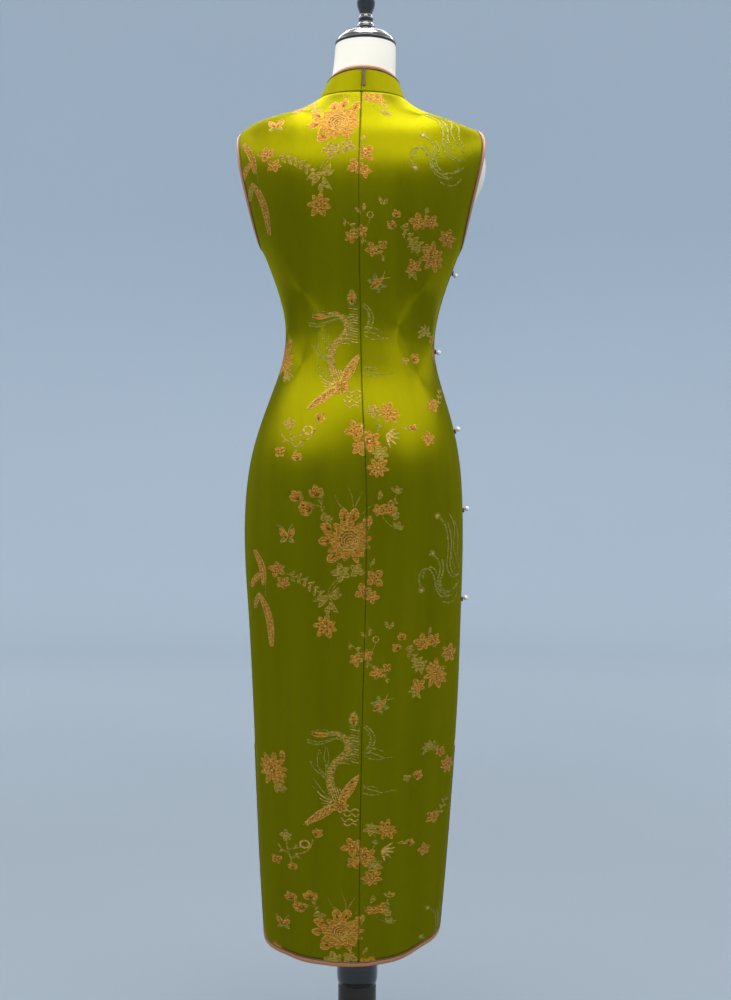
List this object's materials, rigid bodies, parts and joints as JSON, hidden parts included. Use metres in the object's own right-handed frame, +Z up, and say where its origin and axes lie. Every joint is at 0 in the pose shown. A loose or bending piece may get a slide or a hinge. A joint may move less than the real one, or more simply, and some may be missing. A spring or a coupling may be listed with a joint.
{
  "type": "cheongsam dress on a limbless dress form and stand",
  "caption": "Sleeveless ankle-length cheongsam with stand collar, side slits and bound edges, worn by a limbless dress form on a round-based stand.",
  "frame": {"origin": "centre of the base's underside, on the floor and on the stand's axis", "axes": "+Z up, -Y the front of the dress, +X the wearer's left"},
  "size_m": [0.4, 0.4, 1.6435],
  "materials": {
    "brocade": "lustrous satin brocade",
    "wide_binding": "satin",
    "narrow_piping": "satin",
    "zip_tape": "woven tape",
    "zip_metal": "polished",
    "frog_cord": "satin cord",
    "frog_ball": "pearly",
    "form_cover": "smooth, slightly glossy",
    "black_wood": "high gloss lacquer",
    "stand_metal": "satin"
  },
  "bodies": {
    "dress_on_form": {"back_left": "brocade", "back_right": "brocade", "front_main": "brocade", "front_right": "brocade", "collar_left": "brocade", "collar_right": "brocade", "binding_armhole_left": "wide_binding", "binding_armhole_right": "wide_binding", "binding_back_skirt": "wide_binding", "binding_front_skirt": "wide_binding", "binding_placket": "wide_binding", "binding_collar_left": "wide_binding", "binding_collar_right": "wide_binding", "piping_armhole_left": "narrow_piping", "piping_armhole_right": "narrow_piping", "piping_back_skirt": "narrow_piping", "piping_front_skirt": "narrow_piping", "piping_placket": "narrow_piping", "piping_collar_left": "narrow_piping", "piping_collar_right": "narrow_piping", "piping_side_closure": "narrow_piping", "zip_tape": "zip_tape", "zip_slider": "zip_metal", "frog_loop_1": "frog_cord", "frog_loop_2": "frog_cord", "frog_loop_3": "frog_cord", "frog_loop_4": "frog_cord", "frog_loop_5": "frog_cord", "frog_loop_6": "frog_cord", "frog_loop_7": "frog_cord", "frog_ball_1": "frog_ball", "frog_ball_2": "frog_ball", "frog_ball_3": "frog_ball", "frog_ball_4": "frog_ball", "frog_ball_5": "frog_ball", "frog_ball_6": "frog_ball", "frog_ball_7": "frog_ball", "form_torso": "form_cover", "neck_cap": "black_wood", "finial": "black_wood", "pole": "stand_metal", "column": "stand_metal", "base": "stand_metal"},
    "zip_pull": {"zip_pull": "zip_metal"}
  },
  "joints": [
    {"name": "zip_pull_swing", "type": "hinge", "parent": "dress_on_form", "child": "zip_pull", "pos_m": [0.00226, 0.06178, 1.50114], "axis": [1, 0, 0], "range_deg": [0, 150]}
  ]
}
